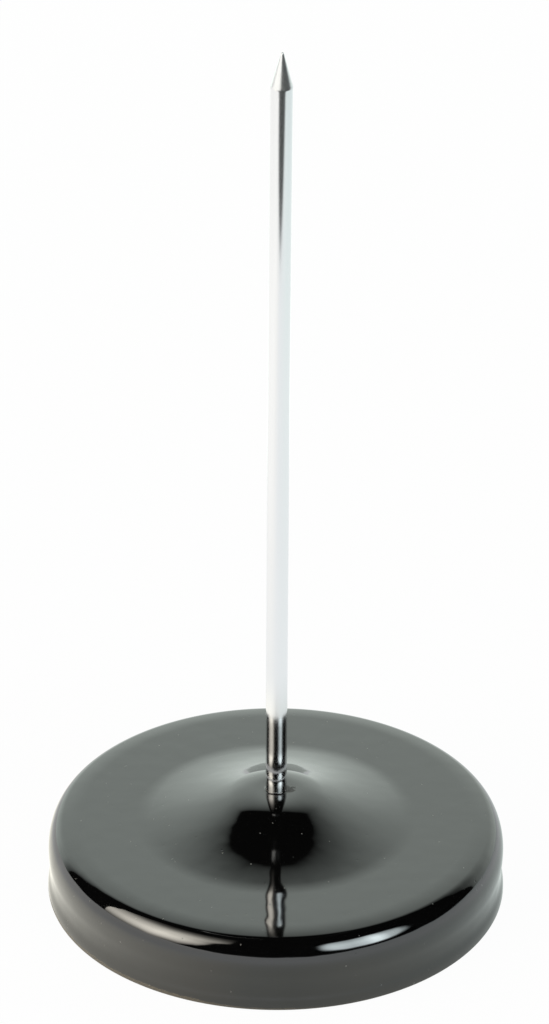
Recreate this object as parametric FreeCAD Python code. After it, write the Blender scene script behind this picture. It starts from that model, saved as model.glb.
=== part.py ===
import FreeCAD, Part
import math
import os

# Base casting, measured from its rim up
base_diameter = 76.2
base_thickness = 12.86
shoulder_inset = 2.5
shoulder_drop = 5.2
shoulder_roll = 1.5
shoulder_slope = 9.7
waist_inset = 0.22
waist_height = 3.7
rim_flare = 0.40
rim_rounding = 0.4
rim_width = 5.0

# Bell-shaped rise in the middle of the base
bell_radius = 23.65
bell_height = 5.5
crown_radius = 3.2
crown_round = 2.5
flank_corner_radius = 14.75
flank_corner_height = 1.5
foot_round = 1.35

# Rod with a ground point
rod_diameter = 3.55
rod_free_length = 132.5
point_angle = 31.6
tip_radius = 0.23
point_blend = 0.2

# Threaded tail of the rod
thread_diameter = 3.0
thread_end_chamfer = 0.4
thread_past_nut = 0.6
tail_clearance = 0.05

# Washer and nut
washer_diameter = 7.0
washer_thickness = 0.5
washer_clearance = 0.1
nut_across_flats = 5.5
nut_height = 2.4
nut_corner_slope = 30.0
nut_clearance = 0.02
nut_countersink = 0.3

# Pocket for the nut under the base
spanner_room = 1.5
pocket_headroom = 0.7
edge_break = 0.3

# Felt pad
pad_thickness = 1.5
pad_proud = 0.3
pad_clearance = 0.3

# Radii worked out from the sizes above
shoulder_radius = base_diameter / 2
waist_radius = shoulder_radius - waist_inset
rim_radius = waist_radius + rim_flare
recess_radius = rim_radius - rim_width
rod_radius = rod_diameter / 2
thread_radius = thread_diameter / 2
tail_hole_radius = thread_radius + tail_clearance
pocket_radius = washer_diameter / 2 + spanner_room

# Heights worked out from the sizes above, from the underside of the pad
rim_level = pad_proud
recess_level = pad_thickness
ring_level = rim_level + base_thickness
crown_level = ring_level + bell_height
tip_level = crown_level + rod_free_length
tail_level = recess_level + pocket_headroom
nut_level = tail_level + thread_past_nut
washer_level = nut_level + nut_height
pocket_level = washer_level + washer_thickness

axis_foot = FreeCAD.Vector(0, 0, 0)
axis_up = FreeCAD.Vector(0, 0, 1)
full_turn = 360
hexagon_sides = 6


def at(radius, level):
    """Return the point of a turned outline at a radius and a level."""
    return FreeCAD.Vector(radius, 0, level)


def on_circle(radius, angle):
    """Return the step from a circle's centre to its rim, at an angle above level."""
    return at(radius * math.cos(angle), radius * math.sin(angle))


def straight(start, end):
    """Return a straight edge of an outline."""
    return Part.LineSegment(start, end).toShape()


def straights(points):
    """Return the straight edges that join a list of points in order."""
    return [straight(start, end) for start, end in zip(points, points[1:])]


def rounded(start, corner, end):
    """Return the arc that leaves start towards corner and comes into end from it.

    Equal legs give a circle's arc and a square corner gives a quarter of an ellipse.
    """
    corner_angle = (start - corner).getAngle(end - corner)
    arc = Part.BezierCurve()
    arc.setPoles([start, corner, end])
    arc.setWeight(2, math.sin(corner_angle / 2))
    return arc.toShape()


def eased(start, end):
    """Return an S-shaped edge that is upright at both of its ends."""
    middle_level = (start.z + end.z) / 2
    edge = Part.BezierCurve()
    edge.setPoles([start, at(start.x, middle_level), at(end.x, middle_level), end])
    return edge.toShape()


def turned(edges):
    """Return the solid swept by a closed outline turned round the upright axis."""
    outline = Part.Wire(Part.__sortEdges__(edges))
    return Part.Face(outline).revolve(axis_foot, axis_up, full_turn)


def toward(start, end, distance):
    """Return the point at a distance from start on the straight way to end."""
    return start + (end - start).normalize() * distance


def bell_edges():
    """Return the bell's outline: a level crown, a rounded brow, a hollow flank and a rounded foot."""
    crown_edge = at(crown_radius, crown_level)
    brow_corner = at(crown_radius + crown_round, crown_level)
    flank_corner = at(flank_corner_radius, ring_level + flank_corner_height)
    foot_corner = at(bell_radius - foot_round, ring_level)
    flank_start = toward(brow_corner, flank_corner, crown_round)
    flank_end = toward(foot_corner, flank_corner, foot_round)
    return [
        straight(at(tail_hole_radius, crown_level), crown_edge),
        rounded(crown_edge, brow_corner, flank_start),
        rounded(flank_start, flank_corner, flank_end),
        rounded(flank_end, foot_corner, at(bell_radius, ring_level)),
    ]


def shoulder_edges():
    """Return the shoulder: a gentle roll off the flat ring, then a tighter turn into the wall."""
    slope = math.radians(shoulder_slope)
    roll_end_radius = shoulder_radius - shoulder_inset
    roll_corner = at(roll_end_radius - shoulder_roll * math.cos(slope), ring_level)
    roll_start = at(roll_corner.x - shoulder_roll, ring_level)
    roll_end = roll_corner + on_circle(shoulder_roll, -slope)
    shoulder_corner = roll_end + at(shoulder_inset, -shoulder_inset * math.tan(slope))
    shoulder_end = at(shoulder_radius, ring_level - shoulder_drop)
    return [
        straight(at(bell_radius, ring_level), roll_start),
        rounded(roll_start, roll_corner, roll_end),
        rounded(roll_end, shoulder_corner, shoulder_end),
    ]


def wall_edges():
    """Return the wall of the base: a shallow waist and a rim that flares out below it."""
    shoulder_end = at(shoulder_radius, ring_level - shoulder_drop)
    waist = at(waist_radius, rim_level + waist_height)
    flare_end = at(rim_radius, rim_level + rim_rounding)
    rim_corner = at(rim_radius, rim_level)
    rim_start = at(rim_radius - rim_rounding, rim_level)
    return [
        eased(shoulder_end, waist),
        eased(waist, flare_end),
        rounded(flare_end, rim_corner, rim_start),
    ]


def underside_edges():
    """Return the rim, the pad's recess, the nut's pocket and the hole for the rod's tail."""
    return straights([
        at(rim_radius - rim_rounding, rim_level),
        at(recess_radius + edge_break, rim_level),
        at(recess_radius, rim_level + edge_break),
        at(recess_radius, recess_level),
        at(pocket_radius + edge_break, recess_level),
        at(pocket_radius, recess_level + edge_break),
        at(pocket_radius, pocket_level),
        at(tail_hole_radius, pocket_level),
        at(tail_hole_radius, crown_level),
    ])


def base_weight():
    """Return the round casting with its bell, shoulder, waist, rim and pocket."""
    return turned(bell_edges() + shoulder_edges() + wall_edges() + underside_edges())


def spike_rod():
    """Return the rod: threaded tail, shoulder, plain shaft and ground point."""
    half_angle = math.radians(point_angle / 2)
    tip_centre_level = tip_level - tip_radius
    apex_level = tip_centre_level + tip_radius / math.sin(half_angle)
    point_level = apex_level - rod_radius / math.tan(half_angle)
    ball_centre = at(0, tip_centre_level)
    ball_end = ball_centre + on_circle(tip_radius, half_angle)
    ball_middle = ball_centre + on_circle(tip_radius, (half_angle + math.pi / 2) / 2)
    tip = at(0, tip_level)
    blend_start = at(rod_radius, point_level - point_blend)
    blend_corner = at(rod_radius, point_level)
    blend_end = at(
        rod_radius - point_blend * math.sin(half_angle),
        point_level + point_blend * math.cos(half_angle),
    )
    tail = straights([
        tip,
        at(0, tail_level),
        at(thread_radius - thread_end_chamfer, tail_level),
        at(thread_radius, tail_level + thread_end_chamfer),
        at(thread_radius, crown_level),
        at(rod_radius, crown_level),
        blend_start,
    ])
    blend = rounded(blend_start, blend_corner, blend_end)
    flank = straight(blend_end, ball_end)
    ball = Part.Arc(ball_end, ball_middle, tip).toShape()
    return turned(tail + [blend, flank, ball])


def clamp_washer():
    """Return the plain washer that lies against the roof of the nut's pocket."""
    hole_radius = thread_radius + washer_clearance
    corners = [
        at(hole_radius, washer_level),
        at(washer_diameter / 2, washer_level),
        at(washer_diameter / 2, pocket_level),
        at(hole_radius, pocket_level),
        at(hole_radius, washer_level),
    ]
    return turned(straights(corners))


def nut_envelope():
    """Return the turned blank of the nut: its corners are bevelled at both faces."""
    corner_radius = nut_across_flats / 2 / math.cos(math.pi / hexagon_sides)
    face_radius = nut_across_flats / 2
    bevel = (corner_radius - face_radius) * math.tan(math.radians(nut_corner_slope))
    hole_radius = thread_radius + nut_clearance
    return turned(straights([
        at(hole_radius + nut_countersink, nut_level),
        at(face_radius, nut_level),
        at(corner_radius, nut_level + bevel),
        at(corner_radius, washer_level - bevel),
        at(face_radius, washer_level),
        at(hole_radius + nut_countersink, washer_level),
        at(hole_radius, washer_level - nut_countersink),
        at(hole_radius, nut_level + nut_countersink),
        at(hole_radius + nut_countersink, nut_level),
    ]))


def clamp_nut():
    """Return the hexagon nut that draws the rod's shoulder down on the bell's crown."""
    corner_radius = nut_across_flats / 2 / math.cos(math.pi / hexagon_sides)
    turns = [2 * math.pi * side / hexagon_sides for side in range(hexagon_sides + 1)]
    corners = [
        FreeCAD.Vector(corner_radius * math.cos(turn), corner_radius * math.sin(turn), nut_level)
        for turn in turns
    ]
    prism = Part.Face(Part.makePolygon(corners)).extrude(axis_up * nut_height)
    return prism.common(nut_envelope()).Solids[0]


def felt_pad():
    """Return the disc that fills the recess and stands a little proud of the rim."""
    return Part.makeCylinder(recess_radius - pad_clearance, pad_thickness)


def main():
    """Build every piece and write one STEP file for each."""
    os.makedirs("parts", exist_ok=True)
    pieces = {
        "base_weight": base_weight(),
        "spike_rod": spike_rod(),
        "clamp_washer": clamp_washer(),
        "clamp_nut": clamp_nut(),
        "felt_pad": felt_pad(),
    }
    for name, shape in pieces.items():
        shape.exportStep("parts/" + name + ".step")
        print(name, "valid", shape.isValid(), "solids", len(shape.Solids), "volume", round(shape.Volume, 1))


main()
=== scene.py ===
"""A paper spike, dressed for its picture: a bright rod with a ground point on a heavy enamelled weight.

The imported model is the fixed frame, in metres, with the pad's underside at z = 0 and the rod on the +Z axis.
Every new piece is a surface turned about that axis from sizes in millimetres, the same ones that drive
the solids.
"""

from __future__ import annotations

import logging
import math
from dataclasses import dataclass
from enum import Enum
from typing import Any, Sequence, Union

import bpy
import numpy as np
from mathutils import Matrix, Vector

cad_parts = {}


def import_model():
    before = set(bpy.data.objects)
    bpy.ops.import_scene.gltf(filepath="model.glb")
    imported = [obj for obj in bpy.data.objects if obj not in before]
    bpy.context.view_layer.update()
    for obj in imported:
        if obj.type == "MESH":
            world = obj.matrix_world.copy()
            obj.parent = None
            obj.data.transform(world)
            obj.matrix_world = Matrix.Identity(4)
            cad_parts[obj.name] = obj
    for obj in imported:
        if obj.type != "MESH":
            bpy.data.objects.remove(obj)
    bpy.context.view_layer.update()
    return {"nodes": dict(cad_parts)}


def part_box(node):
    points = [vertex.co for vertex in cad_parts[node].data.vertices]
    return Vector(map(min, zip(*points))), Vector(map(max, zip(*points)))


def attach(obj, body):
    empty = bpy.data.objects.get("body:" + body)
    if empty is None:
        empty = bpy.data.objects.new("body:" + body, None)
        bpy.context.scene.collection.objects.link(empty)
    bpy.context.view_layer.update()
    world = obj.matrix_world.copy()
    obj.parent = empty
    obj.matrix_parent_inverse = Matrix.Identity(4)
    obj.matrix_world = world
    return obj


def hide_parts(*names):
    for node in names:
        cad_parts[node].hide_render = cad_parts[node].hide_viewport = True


LOG = logging.getLogger("paper_spike")
MM = 0.001
BODY = "root"

Array = np.ndarray
Colour = tuple[float, float, float]
Feed = Union["Signal", float, int, Sequence[float]]
Owner = Union[bpy.types.Material, bpy.types.World]
Stops = Sequence[tuple[float, float]]
Spots = Sequence[tuple[float, float, Colour]]


class Signal:
    """The output of a shader node, which takes part in Python arithmetic.

    Args:
        graph: the graph that the node belongs to.
        socket: the output socket itself.
    """

    def __init__(self, graph: "Graph", socket: bpy.types.NodeSocket) -> None:
        """Keeps the graph and the socket."""
        self.graph = graph
        self.socket = socket

    def joined(self, operation: str, first: Feed, second: Feed = 0.0) -> "Signal":
        """Adds one Math node.

        Args:
            operation: the node's operation.
            first: its first value.
            second: its second value.

        Returns:
            The node's output.
        """
        return self.graph.node("ShaderNodeMath", {"operation": operation}, {0: first, 1: second})

    def __add__(self, other: Feed) -> "Signal":
        """Returns self + other."""
        return self.joined("ADD", self, other)

    def __sub__(self, other: Feed) -> "Signal":
        """Returns self - other."""
        return self.joined("SUBTRACT", self, other)

    def __rsub__(self, other: Feed) -> "Signal":
        """Returns other - self."""
        return self.joined("SUBTRACT", other, self)

    def __mul__(self, other: Feed) -> "Signal":
        """Returns self * other."""
        return self.joined("MULTIPLY", self, other)

    def __truediv__(self, other: Feed) -> "Signal":
        """Returns self / other."""
        return self.joined("DIVIDE", self, other)

    def __pow__(self, other: Feed) -> "Signal":
        """Returns self to the power of other."""
        return self.joined("POWER", self, other)

    __radd__, __rmul__ = __add__, __mul__

    def above(self, edge: float, soft: float) -> "Signal":
        """Gives a mask that rises smoothly from 0 to 1.

        Args:
            edge: the value at the middle of the rise.
            soft: half the width of the rise.

        Returns:
            The mask.
        """
        inputs = {"Value": self, "From Min": edge - soft, "From Max": edge + soft}
        return self.graph.node("ShaderNodeMapRange", {"interpolation_type": "SMOOTHSTEP"}, inputs)

    def below(self, edge: float, soft: float) -> "Signal":
        """Returns the opposite of above()."""
        return 1.0 - self.above(edge, soft)


class Graph:
    """The node tree of one material or of the world."""

    def __init__(self, owner: Owner, surface: str = "ShaderNodeOutputMaterial") -> None:
        """Empties the tree and adds its output node.

        Args:
            owner: the material or the world.
            surface: the type name of its output node.
        """
        owner.use_nodes = True
        self.tree = owner.node_tree
        self.tree.nodes.clear()
        self.end = self.tree.nodes.new(surface)

    def node(
        self,
        kind: str,
        settings: dict[str, Any] | None = None,
        inputs: dict[Any, Feed] | None = None,
        out: Any = 0,
    ) -> Signal:
        """Adds a node of any kind.

        Args:
            kind: the node's type name.
            settings: its own properties, with a ramp's stops under "stops".
            inputs: a value or a link for each socket, by name or by number.
            out: the name or the number of the output that is wanted.

        Returns:
            That output.
        """
        made = self.tree.nodes.new(kind)
        for name, value in (settings or {}).items():
            if name == "stops":
                self.set_stops(made.color_ramp, value)
            else:
                setattr(made, name, value)
        for key, value in (inputs or {}).items():
            self.feed(self.pick(made.inputs, key), value)
        return Signal(self, self.pick(made.outputs, out))

    @staticmethod
    def set_stops(ramp: bpy.types.ColorRamp, stops: Sequence[tuple[float, Colour]]) -> None:
        """Gives a ramp its stops.

        Args:
            ramp: the ramp, which has two stops when it is new.
            stops: the place and the colour of each stop, in order.
        """
        while len(ramp.elements) < len(stops):
            ramp.elements.new(1.0)
        for element, (place, colour) in zip(ramp.elements, stops):
            element.position = place
            element.color = (*colour, 1.0)

    @staticmethod
    def pick(sockets: Any, key: Any) -> bpy.types.NodeSocket:
        """Finds a socket.

        Args:
            sockets: a node's inputs or outputs.
            key: its number or its name, where the live one of that name counts.

        Returns:
            The socket.
        """
        if isinstance(key, int):
            return sockets[key]
        return next(s for s in sockets if s.name == key and s.enabled)

    def feed(self, socket: bpy.types.NodeSocket, value: Feed) -> None:
        """Links a signal to a socket, or sets the socket's own value.

        Args:
            socket: the input socket.
            value: a signal, a number, a colour or a vector.
        """
        if isinstance(value, Signal):
            self.tree.links.new(value.socket, socket)
        elif isinstance(value, (int, float)):
            socket.default_value = value
        else:
            socket.default_value = (*value, 1.0) if len(socket.default_value) > len(value) else tuple(value)

    def place(self) -> Signal:
        """Returns the point on the object, in metres in the frame's axes."""
        return self.node("ShaderNodeTexCoord", out="Object")

    def axis(self, letter: str) -> Signal:
        """Returns one coordinate of the point, in millimetres."""
        return self.node("ShaderNodeSeparateXYZ", inputs={"Vector": self.place()}, out=letter) * 1000.0

    def away_from(self, point_mm: Sequence[float]) -> Signal:
        """Returns the distance from a point, in millimetres."""
        ends = {0: self.place(), 1: [MM * c for c in point_mm]}
        return self.node("ShaderNodeVectorMath", {"operation": "DISTANCE"}, ends, "Value") * 1000.0

    def stretched(self, scale: Sequence[float]) -> Signal:
        """Returns the point with each axis multiplied, to draw a pattern out along one of them."""
        inputs = {"Vector": self.place(), "Scale": tuple(scale)}
        return self.node("ShaderNodeMapping", {"vector_type": "POINT"}, inputs)

    def noise(
        self, grain_mm: float, detail: float = 2.0, rough: float = 0.5, at: Signal | None = None
    ) -> Signal:
        """Gives smooth random values about 0.5.

        Args:
            grain_mm: the size of one blot, in millimetres.
            detail: how many finer layers it has.
            rough: how strong the finer layers are.
            at: the point, where it isn't the plain one.

        Returns:
            The values.
        """
        where = {"Vector": at or self.place(), "Scale": 1000.0 / grain_mm}
        return self.node("ShaderNodeTexNoise", inputs={**where, "Detail": detail, "Roughness": rough})

    def cells(self, per_metre: float) -> Signal:
        """Returns the distance to the nearest random point, in cells, of which this many go to a metre."""
        sizes = {"Vector": self.place(), "Scale": per_metre}
        return self.node("ShaderNodeTexVoronoi", {"feature": "F1"}, sizes, "Distance")

    def specks(self, spacing_mm: float, radius_mm: float) -> Signal:
        """Gives a mask of small round dots at random places.

        Args:
            spacing_mm: the mean distance between the dots in space, of which only those at the surface show.
            radius_mm: how large a dot is.

        Returns:
            The mask, 1 inside a dot.
        """
        reach = radius_mm / spacing_mm
        return self.cells(1000.0 / spacing_mm).below(reach, reach * 0.35)

    def mixed(self, share: Feed, first: Feed, second: Feed) -> Signal:
        """Mixes two colours.

        Args:
            share: how much of the second there is.
            first: the colour where the share is 0.
            second: the colour where the share is 1.

        Returns:
            The mixed colour.
        """
        inputs = {"Factor": share, "A": first, "B": second}
        return self.node("ShaderNodeMix", {"data_type": "RGBA"}, inputs, "Result")

    def bump(self, height: Signal, depth_mm: float, onto: Signal | None = None) -> Signal:
        """Turns a height into a normal.

        Args:
            height: the height, from 0 to 1.
            depth_mm: how deep a height of 1 is, in millimetres.
            onto: a normal that is already there.

        Returns:
            The normal.
        """
        sizes: dict[Any, Feed] = {"Height": height, "Distance": depth_mm * MM, "Strength": 1.0}
        if onto is not None:
            sizes["Normal"] = onto
        return self.node("ShaderNodeBump", inputs=sizes)

    def rays(self) -> list[Signal]:
        """Returns three signals, each 1 for one kind of ray: the camera's, gloss's and glass's."""
        kinds = "Camera", "Glossy", "Transmission"
        return [self.node("ShaderNodeLightPath", out=f"Is {kind} Ray") for kind in kinds]

    def emission(self, colour: Feed, strength: float) -> Signal:
        """Returns an emission of one strength."""
        return self.node("ShaderNodeEmission", inputs={"Color": colour, "Strength": strength})

    def blended(self, share: Signal, first: Signal, second: Signal) -> Signal:
        """Returns a mix of two shaders, with the share of the second."""
        return self.node("ShaderNodeMixShader", inputs={0: share, 1: first, 2: second})

    def finish(self, shader: Signal) -> None:
        """Links the last shader to the output."""
        self.tree.links.new(shader.socket, self.end.inputs["Surface"])

    def principled(self, inputs: dict[Any, Feed]) -> None:
        """Ends the tree in one Principled shader with these sockets."""
        self.finish(self.node("ShaderNodeBsdfPrincipled", inputs=inputs))


def new_material(name: str) -> tuple[bpy.types.Material, Graph]:
    """Makes an empty material.

    Args:
        name: the finish's name.

    Returns:
        The material and its graph.
    """
    material = bpy.data.materials.new(name)
    return material, Graph(material)


@dataclass(frozen=True)
class Enamel:
    """Black stoved enamel over iron: glassy and a little wavy, with a painted tan highlight along the rim's
    lower edge, stronger on the left, and beside the rod's foot a dark brown spot that is partly rust and
    partly painted dark reflection.

    Its one clear surface reflects as much as a coat over a gloss ground does, so its index is higher than
    a lacquer's. The dust and the pits each have the distance between the dots and the radius of one.
    """

    colour: Colour = (0.0010, 0.0010, 0.0011)
    dust: Colour = (0.28, 0.27, 0.25)
    # Tan of the painted highlight along the rim's lower edge.
    rim_highlight_tan: Colour = (0.085, 0.064, 0.038)
    # Dark brown of the spot beside the rod's foot: partly rust, partly painted dark reflection.
    rust: Colour = (0.010, 0.006, 0.004)
    index: float = 1.77
    gloss: float = 0.05
    ripple_mm: float = 3.0
    ripple_depth_mm: float = 0.030
    # How high the painted rim highlight reaches, and how much higher it reaches on the left.
    rim_highlight_top_mm: float = 0.48
    rim_highlight_left_rise_mm: float = 0.45
    dust_mm: tuple[float, float] = (2.4, 0.13)
    pits_mm: tuple[float, float] = (2.7, 0.15)
    pit_depth_mm: float = 0.014
    # Centre and reach of the spot of rust and painted dark reflection beside the rod's foot.
    rust_and_reflection_at_mm: tuple[float, float, float] = (2.15, 0.0, 18.72)
    rust_and_reflection_reach_mm: float = 1.25

    def material(self) -> bpy.types.Material:
        """Mixes the enamel's colour with its dust, a painted tan highlight along the rim's lower edge and a
        spot that is partly rust and partly painted dark reflection, and ripples it.

        Returns:
            The material.
        """
        made, graph = new_material("gloss_enamel")
        # Painted highlight: a tan band along the rim's lower edge, reaching higher and stronger on the left.
        edge = graph.axis("Z") + (graph.noise(1.6, 3.0) - 0.5) * 0.5 - graph.noise(26.0, 1.0) * 0.5
        edge = edge - graph.axis("X").below(-6.0, 16.0) * self.rim_highlight_left_rise_mm
        painted_rim_highlight = edge.below(self.rim_highlight_top_mm, 0.12) * (0.25 + graph.axis("X").below(2.0, 18.0) * 0.75)
        dots = graph.specks(*self.dust_mm)
        grit = graph.specks(*self.pits_mm)
        # A dark brown spot beside the rod's foot, partly rust and partly painted dark reflection.
        rust_and_painted_reflection = graph.away_from(self.rust_and_reflection_at_mm).below(self.rust_and_reflection_reach_mm, 0.4)
        rust_and_painted_reflection = rust_and_painted_reflection * graph.noise(0.45, 3.0).above(0.43, 0.12)
        base = graph.mixed(dots * 0.35, self.colour, self.dust)
        base = graph.mixed(painted_rim_highlight * 0.6, base, self.rim_highlight_tan)
        base = graph.mixed(rust_and_painted_reflection, base, self.rust)
        ripple = graph.noise(self.ripple_mm, 0.6, 0.4)
        wavy = graph.bump(ripple, self.ripple_depth_mm)
        pits = graph.bump(grit, -self.pit_depth_mm, wavy)
        rough = self.gloss + dots * 0.3 + grit * 0.12 + painted_rim_highlight * 0.35 + rust_and_painted_reflection * 0.6
        rough = rough + (graph.noise(9.0) - 0.5) * 0.02
        graph.principled({"Base Color": base, "Roughness": rough, "IOR": self.index, "Normal": pits})
        return made


@dataclass(frozen=True)
class Plating:
    """Bright plating on drawn steel: fine lines along it, grinding marks round its point, a trace of rust.

    The lines blur what the rod mirrors sideways more than up and down, which the anisotropy stands for.
    """

    colour: Colour = (0.77, 0.77, 0.775)
    rust: Colour = (0.16, 0.06, 0.02)
    gloss: float = 0.14
    drawn: float = 1.0
    drawn_depth_mm: float = 0.0012
    ground_from_mm: float = 145.4
    rust_from_mm: float = 18.95

    def material(self) -> bpy.types.Material:
        """Mixes the plating's tint with its lines, its grinding marks and its rust.

        Returns:
            The material.
        """
        made, graph = new_material("bright_plating")
        level = graph.axis("Z")
        point = level.above(self.ground_from_mm, 0.1)
        lines = graph.noise(0.16, 2.0, at=graph.stretched((1.0, 1.0, 0.012)))
        rings = graph.noise(0.10, 2.0, at=graph.stretched((0.05, 0.05, 1.0)))
        foot = level.below(self.rust_from_mm, 0.25) * graph.noise(0.4, 3.0).above(0.52, 0.08)
        tint = graph.mixed(lines * 0.12 + rings * point * 0.12, self.colour, [c * 0.8 for c in self.colour])
        tint = graph.mixed(foot * 0.8, tint, self.rust)
        rough = self.gloss + lines * 0.02 + point * rings * 0.08 + foot * 0.4
        normal = graph.bump(lines, self.drawn_depth_mm)
        normal = graph.bump(rings * point, self.drawn_depth_mm, normal)
        sockets = {"Base Color": tint, "Metallic": 1.0 - foot * 0.6, "Roughness": rough, "Normal": normal}
        graph.principled({**sockets, "Anisotropic": self.drawn})
        return made


@dataclass(frozen=True)
class ZincPlate:
    """Dull zinc on the washer and the nut, with cloudy crystals and a faint straw tint."""

    colour: Colour = (0.62, 0.61, 0.57)
    straw: Colour = (0.55, 0.50, 0.36)
    gloss: float = 0.34
    crystals_per_metre: float = 2600.0
    crystal_depth_mm: float = 0.006

    def material(self) -> bpy.types.Material:
        """Mixes the zinc's clouds and crystals.

        Returns:
            The material.
        """
        made, graph = new_material("zinc_plate")
        cloud = graph.noise(1.3, 3.0)
        grain = graph.cells(self.crystals_per_metre)
        tint = graph.mixed(cloud.above(0.52, 0.2) * 0.6, self.colour, self.straw)
        tint = graph.mixed(grain * 0.35, tint, [c * 0.7 for c in self.colour])
        rough = self.gloss + cloud * 0.16 + grain * 0.08
        normal = graph.bump(grain, self.crystal_depth_mm)
        graph.principled({"Base Color": tint, "Metallic": 1.0, "Roughness": rough, "Normal": normal})
        return made


@dataclass(frozen=True)
class Felt:
    """Pressed charcoal felt: matted fibres of several greys, with lint caught in it."""

    dark: Colour = (0.018, 0.018, 0.020)
    pale: Colour = (0.075, 0.074, 0.076)
    lint: Colour = (0.32, 0.30, 0.27)
    fibre_mm: float = 0.20
    fibre_depth_mm: float = 0.10
    warp_depth_mm: float = 0.08
    sheen: float = 0.25

    def material(self) -> bpy.types.Material:
        """Mixes the felt's fibres, its clouds and its lint.

        Returns:
            The material.
        """
        made, graph = new_material("pressed_felt")
        warp = graph.noise(1.4, 2.0)
        along = graph.noise(self.fibre_mm, 3.0, 0.7, at=graph.stretched((1.0, 0.16, 1.0)))
        across = graph.noise(self.fibre_mm, 3.0, 0.7, at=graph.stretched((0.16, 1.0, 1.0)))
        fibres = along * warp + across * (1.0 - warp)
        cloud = graph.noise(7.0, 3.0)
        tint = graph.mixed(fibres.above(0.52, 0.16) * 0.7 + (cloud - 0.5) * 0.5, self.dark, self.pale)
        tint = graph.mixed(graph.specks(2.6, 0.12) * 0.8, tint, self.lint)
        normal = graph.bump(fibres, self.fibre_depth_mm, graph.bump(warp, self.warp_depth_mm))
        sheen = {"Sheen Weight": self.sheen, "Sheen Roughness": 0.5}
        graph.principled({"Base Color": tint, "Roughness": 0.94, "Normal": normal, **sheen})
        return made


@dataclass
class Surface:
    """A mesh held as whole arrays.

    Args:
        points: the vertices, one row each, in millimetres.
        quads: four vertex numbers in each row.
        fans: three vertex numbers in each row, for what closes at a pole.
    """

    points: Array
    quads: Array
    fans: Array

    def volume(self) -> float:
        """Adds up a . (b x c) / 6 over the triangles.

        Returns:
            The signed volume, in cubic millimetres.
        """
        halves = np.concatenate([self.quads[:, [0, 1, 2]], self.quads[:, [0, 2, 3]], self.fans])
        a, b, c = (self.points[halves[:, k]] for k in range(3))
        return float(np.einsum("ij,ij->i", a, np.cross(b, c)).sum() / 6)

    def placed(self, name: str, crease: float = 30.0) -> bpy.types.Object:
        """Puts the surface into a new object at the origin, with its faces outwards.

        Args:
            name: the object's name.
            crease: edges that turn by more than this many degrees stay sharp.

        Returns:
            The object.
        """
        flip = self.volume() < 0
        quads, fans = (f[:, ::-1] if flip else f for f in (self.quads, self.fans))
        mesh = bpy.data.meshes.new(name)
        mesh.vertices.add(len(self.points))
        mesh.vertices.foreach_set("co", (self.points * MM).astype(np.float32).ravel())
        corners = np.concatenate([quads.ravel(), fans.ravel()]).astype(np.int32)
        counts = np.concatenate([np.full(len(quads), 4), np.full(len(fans), 3)])
        mesh.loops.add(len(corners))
        mesh.loops.foreach_set("vertex_index", corners)
        mesh.polygons.add(len(counts))
        mesh.polygons.foreach_set("loop_start", (np.cumsum(counts) - counts).astype(np.int32))
        mesh.update(calc_edges=True)
        mesh.validate()
        mesh.shade_smooth()
        mesh.set_sharp_from_angle(angle=math.radians(crease))
        made = bpy.data.objects.new(name, mesh)
        bpy.context.scene.collection.objects.link(made)
        return made


def turned(radius: Array, level: Array, steps: int, ring: bool, lean: Array | None = None) -> Surface:
    """Turns an outline about the Z axis: x = s + r cos t, y = r sin t, z = h, for t over a full turn.

    Args:
        radius: r along the outline, or for each point of the outline and each t.
        level: h along the outline.
        steps: how many values t takes.
        ring: the outline closes on itself; otherwise it starts and ends on the axis, at a pole.
        lean: s along the outline, where the piece isn't quite straight.

    Returns:
        The closed surface.
    """
    turn = np.linspace(0.0, 2.0 * np.pi, steps, endpoint=False)
    r = np.broadcast_to(radius if radius.ndim == 2 else radius[:, None], (len(level), steps))
    h = np.broadcast_to(level[:, None], r.shape)
    aside = 0.0 if lean is None else lean[:, None]
    grid = np.stack([aside + r * np.cos(turn), r * np.sin(turn), h], axis=-1)
    body = grid if ring else grid[1:-1]
    rows = len(body)
    first = np.arange(rows if ring else rows - 1)[:, None]
    after = (first + 1) % rows
    across = np.arange(steps)[None, :]
    beside = (across + 1) % steps
    corners = first * steps + across, after * steps + across, after * steps + beside, first * steps + beside
    quads = np.stack(corners, axis=-1)
    points = body.reshape(-1, 3)
    fans = np.zeros((0, 3), int)
    if not ring:
        low, high = len(points), len(points) + 1
        points = np.concatenate([points, grid[:1, 0], grid[-1:, 0]])
        last = (rows - 1) * steps
        a, b = across[0], beside[0]
        fans = np.concatenate([
            np.stack([np.full(steps, low), a, b], axis=-1),
            np.stack([np.full(steps, high), last + b, last + a], axis=-1),
        ])
    return Surface(points, quads.reshape(-1, 4), fans)


def run(start: Sequence[float], end: Sequence[float], steps: int = 1) -> Array:
    """Returns points spaced evenly from start up to, and without, end: start + (end - start) k / steps."""
    share = np.arange(steps)[:, None] / steps
    return np.asarray(start) * (1 - share) + np.asarray(end) * share


def toward(start: Array, end: Array, distance: float) -> Array:
    """Returns the point at a distance from start on the straight way to end."""
    return start + (end - start) / np.linalg.norm(end - start) * distance


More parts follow.
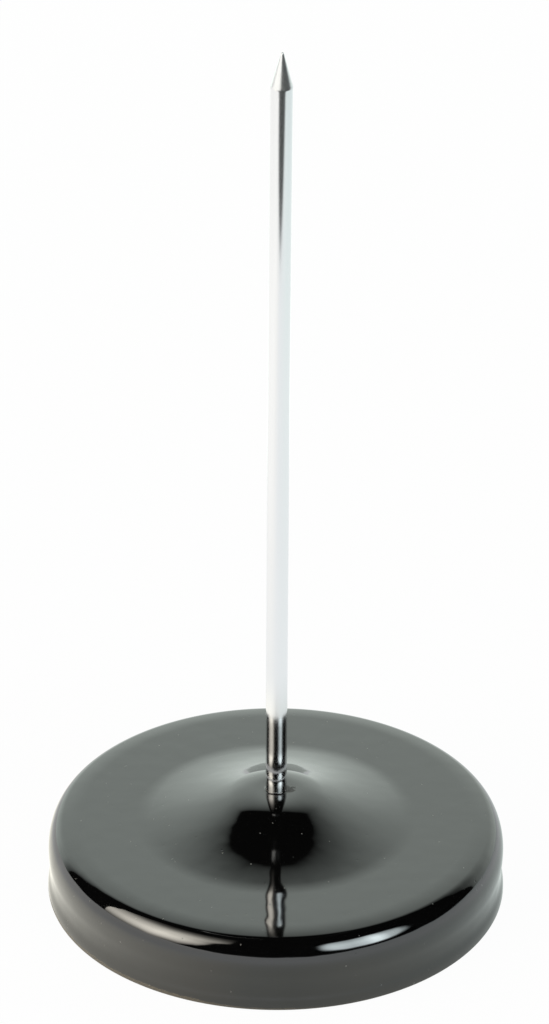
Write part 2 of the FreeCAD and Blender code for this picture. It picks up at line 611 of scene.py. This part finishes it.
def rounded(start: Sequence[float], corner: Sequence[float], end: Sequence[float], steps: int) -> Array:
    """Returns an arc that leaves start towards corner and comes into end from it, without its last point.

    The point at share t is ((1-t)^2 start + 2 w t (1-t) corner + t^2 end) / ((1-t)^2 + 2 w t (1-t) + t^2),
    where w is the sine of half the angle at the corner, so equal legs give a circle and a square corner
    a quarter of an ellipse.

    Args:
        start: the radius and level where it starts.
        corner: the corner that it rounds off.
        end: where it ends.
        steps: how many pieces it has.

    Returns:
        The points, one row each.
    """
    a, b, c = (np.asarray(p, float) for p in (start, corner, end))
    legs = (a - b) / np.linalg.norm(a - b), (c - b) / np.linalg.norm(c - b)
    weight = math.sin(math.acos(float(np.clip(legs[0] @ legs[1], -1, 1))) / 2)
    t = (np.arange(steps) / steps)[:, None]
    parts = (1 - t) ** 2, 2 * weight * t * (1 - t), t**2
    return (parts[0] * a + parts[1] * b + parts[2] * c) / (parts[0] + parts[1] + parts[2])


def eased(start: Sequence[float], end: Sequence[float], steps: int) -> Array:
    """Returns an S-curve that is upright at both ends, without its last point.

    It is the cubic whose inner poles are straight under start and straight over end, at their middle level.

    Args:
        start: the radius and level where it starts.
        end: where it ends.
        steps: how many pieces it has.

    Returns:
        The points, one row each.
    """
    middle = (start[1] + end[1]) / 2
    poles = np.array([start, (start[0], middle), (end[0], middle), end], float)
    t = (np.arange(steps) / steps)[:, None]
    shares = (1 - t) ** 3, 3 * t * (1 - t) ** 2, 3 * t**2 * (1 - t), t**3
    return sum(share * pole for share, pole in zip(shares, poles))


def put_on(piece: bpy.types.Object, node: str, finish: bpy.types.Material) -> bpy.types.Object:
    """Makes a piece stand for a solid of the frame.

    Args:
        piece: the new object.
        node: the solid that it replaces.
        finish: its material.

    Returns:
        The piece.
    """
    piece.data.materials.append(finish)
    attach(piece, BODY)
    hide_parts(node)
    low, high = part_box(node)
    faces, wide, tall = len(piece.data.polygons), (high.x - low.x) / MM, (high.z - low.z) / MM
    LOG.info("%s, %d faces, stands for %s, %.2f mm wide, %.2f mm high", piece.name, faces, node, wide, tall)
    return piece


@dataclass
class Weight:
    """The round casting, from its crown to its rim, with the recess and pocket under it. Sizes in mm."""

    diameter: float = 76.2
    thickness: float = 12.86
    shoulder_inset: float = 2.5
    shoulder_drop: float = 5.2
    shoulder_roll: float = 1.5
    shoulder_slope: float = 9.7
    waist_inset: float = 0.22
    waist_height: float = 3.7
    rim_flare: float = 0.40
    rim_rounding: float = 0.4
    rim_width: float = 5.0
    bell_radius: float = 23.65
    bell_height: float = 5.5
    crown_radius: float = 3.2
    crown_round: float = 2.5
    flank_corner_radius: float = 14.75
    flank_corner_height: float = 1.5
    foot_round: float = 1.35
    bead_radius: float = 1.785
    bead_width: float = 0.32
    bead_height: float = 0.20
    hole_radius: float = 1.55
    pocket_radius: float = 5.0
    pocket_level: float = 5.7
    recess_level: float = 1.5
    edge_break: float = 0.3
    rim_level: float = 0.3
    turns: int = 300

    @property
    def ring_level(self) -> float:
        """The level of the flat ring."""
        return self.rim_level + self.thickness

    @property
    def crown_level(self) -> float:
        """The level of the crown, which the rod's shoulder stands on."""
        return self.ring_level + self.bell_height

    def bell(self) -> Array:
        """Draws the bell: a crown with a bead of enamel round the rod, a brow, a hollow flank and a foot.

        Returns:
            The outline: a row of radius and level for each point, without the last.
        """
        top, ring = self.crown_level, self.ring_level
        brow = np.array([self.crown_radius + self.crown_round, top])
        flank = np.array([self.flank_corner_radius, ring + self.flank_corner_height])
        foot = np.array([self.bell_radius - self.foot_round, ring])
        flank_start, flank_end = toward(brow, flank, self.crown_round), toward(foot, flank, self.foot_round)
        bead, bead_end = self.bead_radius, self.bead_radius + self.bead_width
        return np.concatenate([
            run((self.hole_radius, top), (bead, top)),
            run((bead, top), (bead, top + self.bead_height)),
            rounded((bead, top + self.bead_height), (bead, top), (bead_end, top), 8),
            run((bead_end, top), (self.crown_radius, top), 4),
            rounded((self.crown_radius, top), brow, flank_start, 24),
            rounded(flank_start, flank, flank_end, 88),
            rounded(flank_end, foot, (self.bell_radius, ring), 16),
        ])

    def shoulder(self) -> Array:
        """Draws the flat ring and the shoulder: a gentle roll off the ring, then a tighter turn.

        Returns:
            The outline: a row of radius and level for each point, without the last.
        """
        slope = math.radians(self.shoulder_slope)
        radius, top = self.diameter / 2, self.ring_level
        down = np.array([math.cos(slope), -math.sin(slope)])
        roll_corner = np.array([radius - self.shoulder_inset - self.shoulder_roll * down[0], top])
        roll_start = roll_corner - (self.shoulder_roll, 0.0)
        roll_end = roll_corner + self.shoulder_roll * down
        corner = roll_end + self.shoulder_inset / down[0] * down
        return np.concatenate([
            run((self.bell_radius, top), roll_start, 6),
            rounded(roll_start, roll_corner, roll_end, 14),
            rounded(roll_end, corner, (radius, top - self.shoulder_drop), 56),
        ])

    def wall(self) -> Array:
        """Draws what is below the shoulder: a shallow waist and a rim that flares out.

        Returns:
            The outline: a row of radius and level for each point, without the last.
        """
        radius, waist = self.diameter / 2, self.diameter / 2 - self.waist_inset
        rim, low = waist + self.rim_flare, self.rim_level
        return np.concatenate([
            eased((radius, self.ring_level - self.shoulder_drop), (waist, low + self.waist_height), 16),
            eased((waist, low + self.waist_height), (rim, low + self.rim_rounding), 24),
            rounded((rim, low + self.rim_rounding), (rim, low), (rim - self.rim_rounding, low), 10),
        ])

    def underside(self) -> Array:
        """Draws the underside: rim, recess for the pad, pocket for the nut and hole for the rod's tail.

        Returns:
            The outline: a row of radius and level for each corner.
        """
        rim = self.diameter / 2 - self.waist_inset + self.rim_flare
        recess = rim - self.rim_width
        corners = [
            (rim - self.rim_rounding, self.rim_level),
            (recess + self.edge_break, self.rim_level),
            (recess, self.rim_level + self.edge_break),
            (recess, self.recess_level),
            (self.pocket_radius + self.edge_break, self.recess_level),
            (self.pocket_radius, self.recess_level + self.edge_break),
            (self.pocket_radius, self.pocket_level),
            (self.hole_radius, self.pocket_level),
        ]
        return np.array(corners)

    def build(self, finish: bpy.types.Material) -> bpy.types.Object:
        """Builds and dresses the casting.

        Args:
            finish: the enamel.

        Returns:
            The piece.
        """
        outline = np.concatenate([self.bell(), self.shoulder(), self.wall(), self.underside()])
        piece = turned(outline[:, 0], outline[:, 1], self.turns, ring=True).placed("enamelled_weight")
        return put_on(piece, "base_weight", finish)


@dataclass
class Rod:
    """The rod: ground point, plain shaft, and a tail with a rolled thread. Sizes in mm."""

    diameter: float = 3.55
    seat_level: float = 18.66
    free_top: float = 151.16
    point_angle: float = 31.6
    tip_radius: float = 0.23
    point_blend: float = 0.2
    thread_diameter: float = 3.0
    thread_pitch: float = 0.5
    thread_depth: float = 0.27
    thread_top: float = 9.0
    tail_level: float = 2.2
    end_chamfer: float = 0.4
    bow: float = 0.29
    ground_aside: float = 0.10
    turns: int = 128

    def thread(self, level: Array, turn: Array) -> Array:
        """Gives the radius of the threaded tail.

        The outer radius less a groove: the groove's depth times (1 - |2 s - 1|), rounded off, where s is the
        fraction of level / pitch - turn / (2 pi). It fades out over the last turn below the plain neck.

        Args:
            level: the heights, one for each row.
            turn: the angles, one for each column.

        Returns:
            The radius for each row and column.
        """
        share = np.mod(level[:, None] / self.thread_pitch - turn[None, :] / (2 * np.pi), 1.0)
        groove = np.clip(1.15 - 1.3 * np.abs(2 * share - 1), 0, 1)
        fade = np.clip((self.thread_top - level) / self.thread_pitch, 0, 1)[:, None]
        plain = self.thread_diameter / 2 - self.thread_depth * groove * fade
        chamfer = self.thread_diameter / 2 - self.end_chamfer + (level - self.tail_level)[:, None]
        return np.minimum(plain, chamfer)

    def upper(self) -> Array:
        """Draws the rod from its shoulder up the shaft and the point to the top of its small ball.

        Returns:
            The outline: a row of radius and level for each point.
        """
        half = math.radians(self.point_angle / 2)
        sine, cosine = math.sin(half), math.cos(half)
        radius = self.diameter / 2
        ball = self.free_top - self.tip_radius
        point_level = ball + self.tip_radius / sine - radius / math.tan(half)
        blend_end = (radius - self.point_blend * sine, point_level + self.point_blend * cosine)
        ball_end = (self.tip_radius * cosine, ball + self.tip_radius * sine)
        sweep = np.linspace(half, np.pi / 2, 10)
        cap = np.stack([self.tip_radius * np.cos(sweep), ball + self.tip_radius * np.sin(sweep)], axis=-1)
        cap[-1, 0] = 0.0
        return np.concatenate([
            run((radius, self.seat_level), (radius, point_level - self.point_blend), 120),
            rounded((radius, point_level - self.point_blend), (radius, point_level), blend_end, 8),
            run(blend_end, ball_end, 24),
            cap,
        ])

    def lean(self, level: Array) -> Array:
        """Gives the rod's shift to the right: it is a little bent, and its point is ground off centre.

        The bow times s squared, where s runs from 0 at the crown to 1 at the tip, and over the point the
        shift of its grinding times the share of the point's length.

        Args:
            level: the heights.

        Returns:
            The shift at each height.
        """
        point_length = self.diameter / 2 / math.tan(math.radians(self.point_angle / 2))
        bent = np.clip((level - self.seat_level) / (self.free_top - self.seat_level), 0, 1) ** 2
        ground = np.clip((level - self.free_top + point_length) / point_length, 0, 1)
        return self.bow * bent + self.ground_aside * ground

    def build(self, finish: bpy.types.Material) -> bpy.types.Object:
        """Builds and dresses the rod.

        Args:
            finish: the plating.

        Returns:
            The piece.
        """
        turn = np.linspace(0.0, 2.0 * np.pi, self.turns, endpoint=False)
        rows = int((self.thread_top - self.tail_level) / self.thread_pitch * 10) + 1
        tail = np.concatenate([np.linspace(self.tail_level, self.thread_top, rows), [self.seat_level]])
        upper = self.upper()
        radius = np.concatenate([
            np.zeros((1, self.turns)),
            self.thread(tail, turn),
            np.repeat(upper[:, :1], self.turns, axis=1),
        ])
        level = np.concatenate([[self.tail_level], tail, upper[:, 1]])
        surface = turned(radius, level, self.turns, ring=False, lean=self.lean(level))
        return put_on(surface.placed("pointed_rod", crease=40.0), "spike_rod", finish)


@dataclass
class Pad:
    """The felt disc in the recess, whose edge wanders a little and whose corners are soft. Sizes in mm."""

    radius: float = 32.98
    thickness: float = 1.5
    corner: float = 0.28
    wander: float = 0.10
    turns: int = 288
    seed: int = 7

    def build(self, finish: bpy.types.Material) -> bpy.types.Object:
        """Builds and dresses the pad: a disc whose radius is less by a sum of waves, each of a random phase.

        Args:
            finish: the felt.

        Returns:
            The piece.
        """
        rng = np.random.default_rng(self.seed)
        turn = np.linspace(0.0, 2.0 * np.pi, self.turns, endpoint=False)
        waves = np.array([2, 3, 5, 11, 23, 47])
        phase = rng.uniform(0, 2 * np.pi, len(waves))
        wander = (np.sin(np.outer(turn, waves) + phase) / np.sqrt(waves)).sum(axis=1)
        inset = self.wander * (wander.max() - wander) / (wander.max() - wander.min())
        edge, c = self.radius, self.corner
        outline = np.concatenate([
            run((0, 0), (edge - c, 0), 40),
            rounded((edge - c, 0), (edge, 0), (edge, c), 6),
            run((edge, c), (edge, self.thickness - c), 2),
            rounded((edge, self.thickness - c), (edge, self.thickness), (edge - c, self.thickness), 6),
            run((edge - c, self.thickness), (0, self.thickness), 40),
            [(0, self.thickness)],
        ])
        share = (outline[:, 0] / edge) ** 4
        radius = outline[:, :1] - share[:, None] * inset[None, :]
        piece = turned(radius, outline[:, 1], self.turns, ring=False).placed("felt_disc", crease=60.0)
        return put_on(piece, "felt_pad", finish)


@dataclass
class Fasteners:
    """The nut and the washer of the frame, whose own shapes stay."""

    nodes: tuple[str, ...] = ("clamp_washer", "clamp_nut")

    def dress(self, solids: dict[str, bpy.types.Object], finish: bpy.types.Material) -> None:
        """Gives each of them its finish.

        Args:
            solids: the frame's objects by name.
            finish: the zinc.
        """
        for name in self.nodes:
            slots = solids[name].data.materials
            slots.clear()
            slots.append(finish)
            LOG.info("%s keeps its solid, in %s", name, finish.name)


class Seen(Enum):
    """How a piece of the stage is seen, with the rays that pass it by."""

    NOT_BY_CAMERA = ("camera",)
    IN_GLOSS_ONLY = ("camera", "diffuse", "shadow", "volume_scatter")


def sheet(name: str, points: Array) -> bpy.types.Object:
    """Makes an open sheet with a UV map that runs from 0 to 1 along both ways of its grid.

    Args:
        name: the object's name.
        points: rows and columns of points, in millimetres.

    Returns:
        The object.
    """
    rows, columns = points.shape[:2]
    first, across = np.arange(rows - 1)[:, None], np.arange(columns - 1)[None, :]
    start = first * columns + across
    quads = np.stack([start, start + 1, start + columns + 1, start + columns], axis=-1).reshape(-1, 4)
    mesh = bpy.data.meshes.new(name)
    mesh.from_pydata((points.reshape(-1, 3) * MM).tolist(), [], quads.tolist())
    u, v = np.meshgrid(np.linspace(0, 1, columns), np.linspace(0, 1, rows))
    flat = np.stack([u.ravel(), v.ravel()], axis=-1)[quads.ravel()]
    mesh.uv_layers.new(name="spread").data.foreach_set("uv", flat.astype(np.float32).ravel())
    mesh.shade_smooth()
    made = bpy.data.objects.new(name, mesh)
    bpy.context.scene.collection.objects.link(made)
    return made


def scaled(stops: Stops, low: float, high: float) -> Stops:
    """Returns stops whose places run from 0 at low to 1 at high."""
    return tuple(((place - low) / (high - low), level) for place, level in stops)


@dataclass
class Glow:
    """The light of a card: its strength over u and over v, each from 0 to 1 across the card."""

    name: str
    tint: Colour
    strength: float
    over_u: Stops = ((0.0, 1.0), (1.0, 1.0))
    over_v: Stops = ((0.0, 1.0), (1.0, 1.0))
    round_edge: float = 0.0

    def material(self) -> bpy.types.Material:
        """Makes an emission whose colour is the product of the two ramps, with round corners if asked.

        The corners follow (|u - 1/2|^3 + |v - 1/2|^3)^(1/3), which is 1/2 on the round outline.

        Returns:
            The material.
        """
        made, graph = new_material(self.name)
        where = graph.node("ShaderNodeTexCoord", out="UV")
        u, v = (graph.node("ShaderNodeSeparateXYZ", inputs={"Vector": where}, out=letter) for letter in "XY")
        ramps = []
        for along, stops in ((u, self.over_u), (v, self.over_v)):
            grey = [(place, (value, value, value)) for place, value in stops]
            ramps.append(graph.node("ShaderNodeValToRGB", {"stops": grey}, {"Fac": along}))
        share = ramps[0] * ramps[1]
        if self.round_edge:
            away = (((u - 0.5) ** 2.0) ** 1.5 + ((v - 0.5) ** 2.0) ** 1.5) ** (1.0 / 3.0)
            share = share * away.below(0.5 - self.round_edge, self.round_edge)
        graph.finish(graph.emission(graph.mixed(share, (0.0, 0.0, 0.0), self.tint), self.strength))
        return made

    def hang(self, name: str, points: Array, seen: Seen) -> None:
        """Hangs a card with this light.

        Args:
            name: the card's name.
            points: rows and columns of points, in millimetres.
            seen: how it is seen.
        """
        made = sheet(name, points)
        made.data.materials.append(self.material())
        for ray in seen.value:
            setattr(made, "visible_" + ray, False)


# What gloss sees of the floor: the distance to the right of the axis in mm, the level and the tint
WARM, PLAIN, COOL = (1, 0.98, 0.88), (0.97, 1, 0.93), (0.91, 1, 0.97)
NEAR_FLOOR: Spots = (
    (-100, 1.6, WARM), (-50, 1.58, WARM), (-38, 1.46, WARM), (-27, 1.26, WARM), (-16, 1.03, WARM),
    (-6, 0.87, PLAIN), (4, 0.82, PLAIN), (18, 0.89, PLAIN), (40, 0.92, COOL), (100, 0.97, COOL),
)
FAR_FLOOR: Spots = (
    (-340, 1.22, (1, 1, 0.99)), (-200, 1.31, (1, 1, 0.985)), (-140, 1.29, (1, 1, 0.985)),
    (-100, 1.24, (1, 1, 0.99)), (-55, 1.2, (0.985, 1, 1)), (0, 1.15, (0.97, 1, 1.02)),
    (110, 1.15, (0.95, 1, 1.01)), (180, 1.17, (0.93, 1, 1)), (250, 1.14, (0.91, 1, 1)),
    (340, 1.03, (0.9, 1, 1.01)),
)

# The far left part of the cloth's edge, and at each point of the whole edge the way across its soft border
CLOTH_LEFT = ((-6000, -6170), (-130, -306), (-122, -290), (-97, -275), (-48, -259))
CLOTH_WAY = ((-0.7, 0.7), (-0.9, 0.4), (-0.8, 0.6), (-0.5, 0.85), (-0.3, 0.95), (0, 1), (-0.7, 0.7), (-1, 0))
CLOTH_FALL: Stops = ((0, 1), (0.12, 0.93), (0.38, 0.2), (0.5, 0.075), (1, 0.075))

# The sweep's levels by its height and by the distance to the right, both as shares of how far off it hangs
SWEEP_RISE: Stops = (
    (0, 1), (0.2, 0.98), (0.4, 1), (0.6, 0.9), (0.7, 0.87), (0.8, 0.84), (0.9, 0.8), (1, 0.74),
    (1.15, 0.65), (1.3, 0.55), (1.61, 0.35), (1.84, 0.24), (2, 0.14), (2.08, 0.08), (2.15, 0.03),
)
SWEEP_SPREAD: Stops = (
    (-1.96, 0.15), (-1.73, 0.38), (-1.4, 0.76), (-0.9, 1), (-0.5, 1), (0, 0.95), (0.5, 0.88), (1, 0.81),
    (1.73, 0.57), (2.25, 0.47), (3.08, 0.31), (3.3, 0.2),
)

# The left box: the azimuths of its edges by elevation, then its levels across it and by elevation
LEFT_FAR_EDGE: Stops = ((0, -88), (30, -88), (40, -91), (56, -90))
LEFT_NEAR_EDGE: Stops = (
    (0, -46), (5, -41), (10, -37), (15, -34), (20, -31.5), (28, -29.5), (36, -23.5), (44, -23), (50, -24),
    (64, -26),
)
LEFT_SPREAD: Stops = (
    (0, 0.5), (0.08, 0.55), (0.2, 0.65), (0.31, 0.75), (0.43, 0.85), (0.55, 0.97), (0.67, 0.88), (0.78, 0.74),
    (0.9, 0.48), (0.96, 0.28), (1, 0.05),
)
LEFT_RISE: Stops = (
    (-0.5, 0.1), (0, 0.18), (2.7, 0.33), (5.5, 0.57), (8.4, 0.75), (11.5, 0.89), (14.7, 0.95), (18, 1),
    (21.6, 0.93), (25, 0.84), (29, 0.76), (33.7, 0.66), (38, 0.51), (43, 0.33), (48, 0.19), (52, 0.11),
    (56, 0.07), (60, 0.03), (64, 0),
)

# The right box: its levels across it and up it
RIGHT_SPREAD: Stops = (
    (0, 0.36), (0.2, 0.63), (0.38, 0.53), (0.5, 0.67), (0.59, 0.97), (0.65, 0.95), (0.75, 0.5), (0.93, 0.33),
    (1, 0.2),
)
RIGHT_RISE: Stops = ((0, 0.8), (0.3, 0.95), (0.45, 1), (0.6, 0.9), (0.75, 0.68), (0.9, 0.5), (1, 0.3))


@dataclass
class Studio:
    """The floor, the white sweep behind, a soft box on each side and the dark room round them. Sizes in mm.

    Directions are azimuths from the camera's side, positive to the right, and elevations, in degrees.
    """

    floor_reach: float = 6000.0
    floor_level: float = -0.02
    floor_grey: float = 0.80
    floor_strength: float = 1.8
    floor_mirrored: float = 0.85
    floor_shown: float = 0.97
    near_reach: float = 60.0
    near_soft: float = 14.0
    backdrop_from: float = 140.0
    backdrop_soft: float = 20.0
    backdrop_half: float = 110.0
    backdrop_side_soft: float = 4000.0
    backdrop_tint: Colour = (0.86, 0.94, 0.89)
    cloth_from: float = 252.0
    cloth_soft: float = 13.0
    cloth_straight_from: float = 10.0
    cloth_right_from: float = 400.0
    cloth_back: float = 50.0
    cloth_end: float = -6200.0
    cloth_level: float = 0.5
    sweep_away: float = 500.0
    sweep_across: tuple[float, float] = (-1.96, 3.3)
    sweep_rise: float = 2.15
    sweep_plain: float = 0.75
    left_away: float = 800.0
    left_elevations: tuple[float, float] = (-0.5, 64.0)
    right_away: float = 2500.0
    right_azimuths: tuple[float, float] = (18.5, 69.0)
    right_elevations: tuple[float, float] = (2.5, 40.0)
    card_away: float = 42.0
    card_levels: tuple[float, float] = (141.0, 161.0)
    shoulder_radius: float = 36.0
    shoulder_level: float = 13.0
    room_reach: float = 8000.0
    air_strength: float = 0.15

    def ringed(self, azimuth: Array, elevation: Array, away: float) -> Array:
        """Returns the points that the base's shoulder shows the camera in the directions a and e.

        Each is p + d (sin a, -cos a, tan e), where p is the shoulder's point at the azimuth a / 2.

        Args:
            azimuth: a, in degrees.
            elevation: e, in degrees.
            away: the level distance d.

        Returns:
            The points.
        """
        a, e = np.radians(azimuth), np.radians(elevation)
        radius = self.shoulder_radius
        x = radius * np.sin(a / 2) + away * np.sin(a)
        y = -radius * np.cos(a / 2) - away * np.cos(a)
        return np.stack([x, y, self.shoulder_level + away * np.tan(e)], axis=-1)

    def spread(self, graph: Graph, across: Signal, spots: Spots) -> Signal:
        """Gives the light of the floor across it, as a share of the floor's strength.

        Args:
            graph: the floor's material.
            across: the distance to the right of the axis, in millimetres.
            spots: that distance, the level and the tint of each place.

        Returns:
            The colour.
        """
        low, full = spots[0][0], self.floor_strength
        wide = spots[-1][0] - low
        stops = [((x - low) / wide, tuple(level / full * c for c in tint)) for x, level, tint in spots]
        return graph.node("ShaderNodeValToRGB", {"stops": stops}, {"Fac": (across - low) / wide})

    def floor(self) -> None:
        """Lays the pale floor, which camera, gloss and glass see as white with the object's shadow on it.

        What gloss sees of it is brighter on the left and far behind, as the lamps throw their light there.
        """
        reach = self.floor_reach
        x, y = np.meshgrid(np.linspace(-reach, reach, 3), np.linspace(-reach, reach, 3))
        made = sheet("floor", np.stack([x, y, np.full_like(x, self.floor_level)], axis=-1))
        material, graph = new_material("pale_floor")
        camera, gloss, glass = graph.rays()
        across, along = graph.axis("X"), graph.axis("Y")
        near, far = (self.spread(graph, across, spots) for spots in (NEAR_FLOOR, FAR_FLOOR))
        away = (across**2.0 + along**2.0) ** 0.5
        behind = along.above(self.backdrop_from, self.backdrop_soft)
        behind = behind * (across**2.0).below(self.backdrop_half**2, self.backdrop_side_soft)
        glow = graph.mixed(away.above(self.near_reach, self.near_soft), near, far)
        glow = graph.mixed(behind, glow, self.backdrop_tint)
        matt = graph.node("ShaderNodeBsdfDiffuse", inputs={"Color": (self.floor_grey,) * 3})
        mirrored = graph.blended(gloss * self.floor_mirrored, matt, graph.emission(glow, self.floor_strength))
        seen = camera * self.floor_shown + glass * self.floor_shown
        graph.finish(graph.blended(seen, mirrored, graph.emission((1.0, 1.0, 1.0), 1.0)))
        made.data.materials.append(material)

    def cloth(self) -> None:
        """Lays the dark cloth on the near part of the floor, in front and on the right, for gloss alone."""
        front, side, back = -self.cloth_from, self.cloth_right_from, self.cloth_back
        reach, end = self.floor_reach, self.cloth_end
        edge = np.array([*CLOTH_LEFT, (self.cloth_straight_from, front), (side, front), (side, back)])
        border = self.cloth_soft * np.array(CLOTH_WAY)
        ends = edge * (1.0, 0.0) + (0.0, end)
        ends[0], ends[-2:] = (-reach, end), ((reach, end), (reach, back))
        grid = np.stack([edge + border, edge - border, ends])
        points = np.concatenate([grid, np.full((*grid.shape[:2], 1), self.cloth_level)], axis=-1)
        gloom = Glow("cloth_gloom", (1.0, 1.04, 1.04), 1.04, over_v=CLOTH_FALL)
        gloom.hang("dark_cloth", points, Seen.IN_GLOSS_ONLY)

    def sweep(self) -> None:
        """Hangs the white sweep behind, brightest near the floor; its top edge rises to the right.

        Its height is plain up to a share of it, then stretched to the top, 2.15 + 0.20 x - 0.056 x^2.
        """
        low, high = self.sweep_across
        plain = self.sweep_plain
        across, rise = np.meshgrid(np.linspace(low, high, 23), np.linspace(0, 1, 25))
        top = self.sweep_rise + 0.20 * across - 0.056 * across**2
        stretch = np.maximum(top / self.sweep_rise - plain, 0.04) / (1 - plain)
        height = self.sweep_rise * np.where(rise < plain, rise, plain + (rise - plain) * stretch)
        spread, levels = scaled(SWEEP_SPREAD, low, high), scaled(SWEEP_RISE, 0.0, self.sweep_rise)
        glow = Glow("sweep_glow", (0.91, 1.0, 0.94), 1.68, over_u=spread, over_v=levels)
        points = self.sweep_away * np.stack([across, np.ones_like(across), height], axis=-1)
        glow.hang("white_sweep", points, Seen.NOT_BY_CAMERA)

    def left_box(self) -> None:
        """Stands the warm soft box on the left, close by; its right edge leans over the base."""
        low, high = self.left_elevations
        rise = np.linspace(low, high, 22)[:, None]
        share = np.linspace(0.0, 1.0, 13)[None, :]
        left, right = (np.interp(rise, *zip(*edge)) for edge in (LEFT_FAR_EDGE, LEFT_NEAR_EDGE))
        azimuth = left * (1 - share) + right * share
        points = self.ringed(azimuth, np.broadcast_to(rise, azimuth.shape), self.left_away)
        levels = scaled(LEFT_RISE, low, high)
        glow = Glow("left_glow", (1.0, 0.95, 0.84), 8.8, over_u=LEFT_SPREAD, over_v=levels)
        glow.hang("left_soft_box", points, Seen.NOT_BY_CAMERA)

    def right_box(self) -> None:
        """Stands the cool soft box on the right, far off, with its corners well rounded."""
        azimuth, elevation = (np.linspace(*ends, 13) for ends in (self.right_azimuths, self.right_elevations))
        points = self.ringed(*np.meshgrid(azimuth, elevation), self.right_away)
        glow = Glow("right_glow", (0.87, 0.98, 1.0), 11.0, RIGHT_SPREAD, RIGHT_RISE, round_edge=0.07)
        glow.hang("right_soft_box", points, Seen.NOT_BY_CAMERA)

    def tip_cards(self) -> None:
        """Hangs two small cards by the rod's point for gloss alone: a white one left, a black one right."""
        white = "white_card", (-95.0, -12.0), (1.32, 1.32, 1.26)
        black = "black_card", (-12.0, 100.0), (0.085, 0.09, 0.09)
        for name, azimuths, light in (white, black):
            azimuth, level = np.meshgrid(np.linspace(*azimuths, 9), np.linspace(*self.card_levels, 3))
            a = np.radians(azimuth)
            points = np.stack([self.card_away * np.sin(a), -self.card_away * np.cos(a), level], axis=-1)
            strength = max(light)
            glow = Glow(name + "_glow", tuple(c / strength for c in light), strength)
            glow.hang(name, points, Seen.IN_GLOSS_ONLY)

    def room(self) -> None:
        """Closes the dark room round it all, which only gloss sees."""
        azimuth, elevation = np.meshgrid(np.linspace(-180.0, 180.0, 49), np.linspace(-10.0, 90.0, 21))
        a, e = np.radians(azimuth), np.radians(elevation)
        dome = self.room_reach * np.stack([np.sin(a) * np.cos(e), -np.cos(a) * np.cos(e), np.sin(e)], axis=-1)
        Glow("room_gloom", (0.010, 0.010, 0.009), 1.0).hang("dark_room", dome, Seen.IN_GLOSS_ONLY)

    def world(self) -> None:
        """Sets the world: white for camera, gloss and glass, and a faint even light for the rest."""
        world = bpy.data.worlds.new("studio_air")
        bpy.context.scene.world = world
        graph = Graph(world, "ShaderNodeOutputWorld")
        camera, gloss, glass = graph.rays()
        air, white = (
            graph.node("ShaderNodeBackground", inputs={"Color": (1.0, 1.0, 1.0), "Strength": strength})
            for strength in (self.air_strength, 1.0)
        )
        graph.finish(graph.blended(camera + gloss + glass, air, white))

    def build(self) -> None:
        """Builds the stage."""
        lights = self.sweep, self.left_box, self.right_box, self.tip_cards, self.room, self.world
        for part in (self.floor, self.cloth, *lights):
            part()
            LOG.info("stage: %s", part.__name__)


@dataclass
class Viewpoint:
    """The camera, found from the outlines of the base and the rod in the photograph, in mm and degrees."""

    distance: float = 787.74
    elevation: float = 32.968
    aim_level: float = 0.3
    yaw: float = 0.038
    pitch: float = 4.534
    roll: float = -0.300
    focal_px: float = 4659.693
    long_side_px: int = 1024
    sensor: float = 36.0

    def build(self) -> bpy.types.Object:
        """Makes the camera: it looks at the rim's middle, then turns by yaw, pitch and roll on its axes.

        Returns:
            The camera.
        """
        rise = math.radians(self.elevation)
        back = Vector((0.0, -math.cos(rise), math.sin(rise)))
        forward, right = -back, Vector((1.0, 0.0, 0.0))
        up = right.cross(forward)
        turn = Matrix.Rotation(math.radians(self.yaw), 3, up)
        forward, right = turn @ forward, turn @ right
        turn = Matrix.Rotation(math.radians(self.pitch), 3, right)
        forward, up = turn @ forward, turn @ up
        turn = Matrix.Rotation(math.radians(self.roll), 3, forward)
        right, up = turn @ right, turn @ up
        data = bpy.data.cameras.new("camera")
        data.sensor_width = self.sensor
        data.lens = self.focal_px * self.sensor / self.long_side_px
        data.clip_start, data.clip_end = 0.01, 100.0
        made = bpy.data.objects.new("camera", data)
        bpy.context.scene.collection.objects.link(made)
        place = (back * self.distance + Vector((0.0, 0.0, self.aim_level))) * MM
        made.matrix_world = Matrix.Translation(place) @ Matrix((right, up, -forward)).transposed().to_4x4()
        bpy.context.scene.camera = made
        LOG.info("camera at %s mm, lens %.2f mm", tuple(round(c / MM, 1) for c in place), data.lens)
        return made


def main() -> None:
    """Builds the object's pieces in order, then the stage and the camera."""
    logging.basicConfig(level=logging.INFO, format="%(message)s")
    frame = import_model()
    scene = bpy.context.scene
    scene.view_settings.view_transform = "Standard"
    weight = Weight()
    weight.build(Enamel().material())
    Rod(seat_level=weight.crown_level).build(Plating().material())
    Pad().build(Felt().material())
    Fasteners().dress(frame["nodes"], ZincPlate().material())
    Studio().build()
    Viewpoint().build()


if __name__ == "__main__":
    main()
